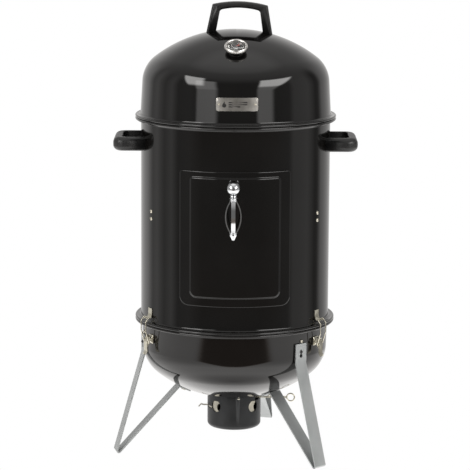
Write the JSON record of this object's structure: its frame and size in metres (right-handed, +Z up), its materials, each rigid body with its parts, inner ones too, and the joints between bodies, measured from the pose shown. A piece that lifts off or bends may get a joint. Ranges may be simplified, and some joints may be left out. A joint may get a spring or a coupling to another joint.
{
  "type": "upright charcoal water smoker",
  "caption": "Upright charcoal water smoker: enamelled bowl on bar legs, barrel with a tilting fire door, domed lid with thermometer, inner grates and water pan.",
  "frame": {"origin": "on the barrel's vertical axis, at the floor", "axes": "+Z up, -Y towards the front with the fire door, +X to the right as seen from the front"},
  "size_m": [0.5651, 0.5581, 1.0535],
  "materials": {
    "ash_can": "satin dark grey",
    "barrel": "glossy black porcelain enamel",
    "bowl": "glossy black porcelain enamel",
    "bowl_brackets": "bright steel",
    "bowl_screws": "bright steel",
    "bracket_screws": "bright steel",
    "can_screws": "bright steel",
    "charcoal_grate": "plated wire",
    "clasp_base_back": "zinc plated",
    "clasp_base_left": "zinc plated",
    "clasp_base_right": "zinc plated",
    "clasp_keeper_back": "zinc plated",
    "clasp_keeper_left": "zinc plated",
    "clasp_keeper_right": "zinc plated",
    "clasp_lever_back": "zinc plated",
    "clasp_lever_left": "zinc plated",
    "clasp_lever_right": "zinc plated",
    "clasp_loop_back": "zinc plated",
    "clasp_loop_left": "zinc plated",
    "clasp_loop_right": "zinc plated",
    "damper_sleeve": "mill finish",
    "damper_tab": "satin dark grey",
    "door_lips": "bright steel",
    "door_panel": "glossy black porcelain enamel",
    "grate_brackets": "bright steel",
    "latch_ball": "polished chrome",
    "latch_cage": "polished chrome",
    "latch_nut": "bright steel",
    "latch_spindle": "bright steel",
    "latch_tongue": "bright steel",
    "leg_back": "matte light grey coating",
    "leg_bolts": "bright steel",
    "leg_front_right": "matte light grey coating",
    "leg_left": "matte light grey coating",
    "leg_nuts": "bright steel",
    "leg_studs": "black",
    "lid_handle": "satin black heat-proof plastic",
    "lid_handle_screws": "bright steel",
    "lid_shell": "glossy black porcelain enamel",
    "lid_tongues": "bright steel",
    "lower_grate": "plated wire",
    "name_plate": "brushed plate",
    "plate_rivets": "bright steel",
    "side_handle_left": "satin black heat-proof plastic",
    "side_handle_right": "satin black heat-proof plastic",
    "side_handle_screws": "bright steel",
    "sweeper_lever": "bright steel",
    "sweeper_ring": "bright steel",
    "sweeper_rivet": "bright steel",
    "sweeper_spindle": "bright steel",
    "sweeper_vanes": "bright steel",
    "thermo_case": "polished chrome",
    "thermo_dial": "printed black dial",
    "thermo_glass": "clear",
    "thermo_needle": "red pointer",
    "thermo_nut": "bright steel",
    "thermo_stem": "bright steel",
    "upper_grate": "plated wire",
    "water_pan": "glossy black porcelain enamel"
  },
  "bodies": {
    "stand": {"barrel": "barrel", "bowl": "bowl", "grate_brackets": "grate_brackets", "bracket_screws": "bracket_screws", "side_handle_left": "side_handle_left", "side_handle_right": "side_handle_right", "side_handle_screws": "side_handle_screws", "bowl_brackets": "bowl_brackets", "bowl_screws": "bowl_screws", "leg_front_right": "leg_front_right", "leg_back": "leg_back", "leg_left": "leg_left", "leg_studs": "leg_studs", "leg_bolts": "leg_bolts", "leg_nuts": "leg_nuts", "ash_can": "ash_can", "can_screws": "can_screws", "clasp_base_right": "clasp_base_right", "clasp_keeper_right": "clasp_keeper_right", "clasp_base_left": "clasp_base_left", "clasp_keeper_left": "clasp_keeper_left", "clasp_base_back": "clasp_base_back", "clasp_keeper_back": "clasp_keeper_back"},
    "lid": {"lid_shell": "lid_shell", "lid_tongues": "lid_tongues", "lid_handle": "lid_handle", "lid_handle_screws": "lid_handle_screws", "thermo_case": "thermo_case", "thermo_dial": "thermo_dial", "thermo_glass": "thermo_glass", "thermo_stem": "thermo_stem", "thermo_nut": "thermo_nut", "name_plate": "name_plate", "plate_rivets": "plate_rivets"},
    "needle": {"thermo_needle": "thermo_needle"},
    "door": {"door_panel": "door_panel", "door_lips": "door_lips"},
    "latch": {"latch_ball": "latch_ball", "latch_cage": "latch_cage", "latch_spindle": "latch_spindle", "latch_tongue": "latch_tongue", "latch_nut": "latch_nut"},
    "upper_rack": {"upper_grate": "upper_grate"},
    "lower_rack": {"lower_grate": "lower_grate"},
    "pan": {"water_pan": "water_pan"},
    "coal_rack": {"charcoal_grate": "charcoal_grate"},
    "damper": {"damper_sleeve": "damper_sleeve", "damper_tab": "damper_tab"},
    "sweeper": {"sweeper_vanes": "sweeper_vanes", "sweeper_spindle": "sweeper_spindle", "sweeper_lever": "sweeper_lever", "sweeper_ring": "sweeper_ring", "sweeper_rivet": "sweeper_rivet"},
    "lever_right": {"clasp_lever_right": "clasp_lever_right"},
    "loop_right": {"clasp_loop_right": "clasp_loop_right"},
    "lever_left": {"clasp_lever_left": "clasp_lever_left"},
    "loop_left": {"clasp_loop_left": "clasp_loop_left"},
    "lever_back": {"clasp_lever_back": "clasp_lever_back"},
    "loop_back": {"clasp_loop_back": "clasp_loop_back"}
  },
  "joints": [
    {"name": "lid_lift", "type": "slide", "parent": "stand", "child": "lid", "axis": [0, 0, 1], "range_m": [0, 0.25]},
    {"name": "needle_turn", "type": "hinge", "parent": "lid", "child": "needle", "pos_m": [0, -0.15158, 0.96074], "axis": [0, -0.4751, 0.8799], "range_deg": [-250, 0]},
    {"name": "door_tilt", "type": "hinge", "parent": "stand", "child": "door", "pos_m": [0, -0.2228, 0.3765], "axis": [1, 0, 0], "range_deg": [0, 90]},
    {"name": "latch_turn", "type": "hinge", "parent": "door", "child": "latch", "pos_m": [-0.004, -0.259, 0.6556], "axis": [0, 1, 0], "range_deg": [0, 90]},
    {"name": "upper_grate_lift", "type": "slide", "parent": "stand", "child": "upper_rack", "axis": [0, 0, 1], "range_m": [0, 0.07]},
    {"name": "lower_grate_lift", "type": "slide", "parent": "stand", "child": "lower_rack", "axis": [0, 0, 1], "range_m": [0, 0.04]},
    {"name": "water_pan_lift", "type": "slide", "parent": "stand", "child": "pan", "axis": [0, 0, 1], "range_m": [0, 0.038]},
    {"name": "charcoal_grate_lift", "type": "slide", "parent": "stand", "child": "coal_rack", "axis": [0, 0, 1], "range_m": [0, 0.1]},
    {"name": "damper_turn", "type": "hinge", "parent": "stand", "child": "damper", "pos_m": [0, 0, 0.09], "axis": [0, 0, 1], "range_deg": [-13, 24]},
    {"name": "sweeper_turn", "type": "hinge", "parent": "stand", "child": "sweeper", "pos_m": [0, 0, 0.12], "axis": [0, 0, 1], "range_deg": [-22, 22]},
    {"name": "lever_right_lift", "type": "hinge", "parent": "stand", "child": "lever_right", "pos_m": [0.19372, -0.1164, 0.282], "axis": [-0.515, -0.8572, 0], "range_deg": [0, 110]},
    {"name": "loop_right_swing", "type": "hinge", "parent": "lever_right", "child": "loop_right", "pos_m": [0.19715, -0.11846, 0.271], "axis": [-0.515, -0.8572, 0], "range_deg": [-130, 0]},
    {"name": "lever_left_lift", "type": "hinge", "parent": "stand", "child": "lever_left", "pos_m": [-0.19955, -0.1061, 0.282], "axis": [-0.4695, 0.8829, 0], "range_deg": [0, 110]},
    {"name": "loop_left_swing", "type": "hinge", "parent": "lever_left", "child": "loop_left", "pos_m": [-0.20308, -0.10798, 0.271], "axis": [-0.4695, 0.8829, 0], "range_deg": [-130, 0]},
    {"name": "lever_back_lift", "type": "hinge", "parent": "stand", "child": "lever_back", "pos_m": [0, 0.226, 0.282], "axis": [1, 0, 0], "range_deg": [0, 110]},
    {"name": "loop_back_swing", "type": "hinge", "parent": "lever_back", "child": "loop_back", "pos_m": [0, 0.23, 0.271], "axis": [1, 0, 0], "range_deg": [-130, 0]}
  ],
  "couplings": [
    {"joint": "loop_right_swing", "follows": "lever_right_lift", "ratio": -1.15},
    {"joint": "loop_left_swing", "follows": "lever_left_lift", "ratio": -1.15},
    {"joint": "loop_back_swing", "follows": "lever_back_lift", "ratio": -1.15}
  ]
}
